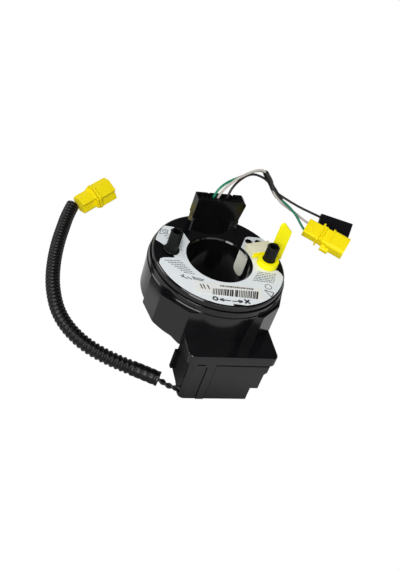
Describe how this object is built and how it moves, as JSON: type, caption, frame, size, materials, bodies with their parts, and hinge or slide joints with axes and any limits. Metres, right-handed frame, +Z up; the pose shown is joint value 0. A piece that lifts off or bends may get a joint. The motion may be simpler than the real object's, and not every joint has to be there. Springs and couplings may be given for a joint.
{
  "type": "steering clock spring",
  "caption": "Steering column clock spring with a round black tub, a turning labelled reel, a yellow lock tab, a connector box, a corrugated tube lead and a short harness.",
  "frame": {"origin": "on the reel's axis, at the tub's underside, which seats on the steering column", "axes": "+Z up the reel's axis towards the steering wheel, -Y towards the connector box, +X to the lock tab's side"},
  "size_m": [0.1848, 0.1856, 0.1029],
  "materials": {
    "black_plastic": "glossy moulded",
    "grey_black_plastic": "fine matte",
    "conduit_plastic": "satin corrugated",
    "yellow_plastic": "satin moulded",
    "lock_yellow": "satin moulded",
    "cream_film": "satin film",
    "cream_tape": "matte tape",
    "label_film": "satin print",
    "sticker_film": "matte print",
    "tinned_brass": "bright tinned",
    "black_cable": "satin insulation",
    "green_cable": "satin insulation",
    "white_cable": "satin insulation",
    "black_tape": "glossy tape"
  },
  "bodies": {
    "stator": {"lower_case": "black_plastic", "cover_ring": "black_plastic", "connector_housing": "grey_black_plastic", "terminal_block": "grey_black_plastic", "socket_pins": "tinned_brass", "pigtail_wires": "black_cable", "conduit": "conduit_plastic", "pigtail_connector": "yellow_plastic"},
    "rotor": {"rotor_disc": "black_plastic", "lower_sleeve": "black_plastic", "ribbon_cable": "cream_film", "tower_housing": "black_plastic", "drive_post_left": "grey_black_plastic", "drive_post_right": "grey_black_plastic", "label": "label_film", "serial_sticker": "sticker_film", "wire_green": "green_cable", "wire_white": "white_cable", "wire_dark": "black_cable", "harness_tape": "black_tape", "airbag_connector": "yellow_plastic", "airbag_lock": "yellow_plastic", "horn_connector": "black_plastic"},
    "lock_tab": {"lock_tab": "lock_yellow", "lock_tape": "cream_tape"}
  },
  "joints": [
    {"name": "reel_turn", "type": "hinge", "parent": "stator", "child": "rotor", "pos_m": [0, 0, 0.015], "axis": [0, 0, 1], "range_deg": [-900, 900], "deforming": ["ribbon_cable"]},
    {"name": "lock_lift", "type": "slide", "parent": "rotor", "child": "lock_tab", "axis": [0, 0, 1], "range_m": [0, 0.018]}
  ]
}
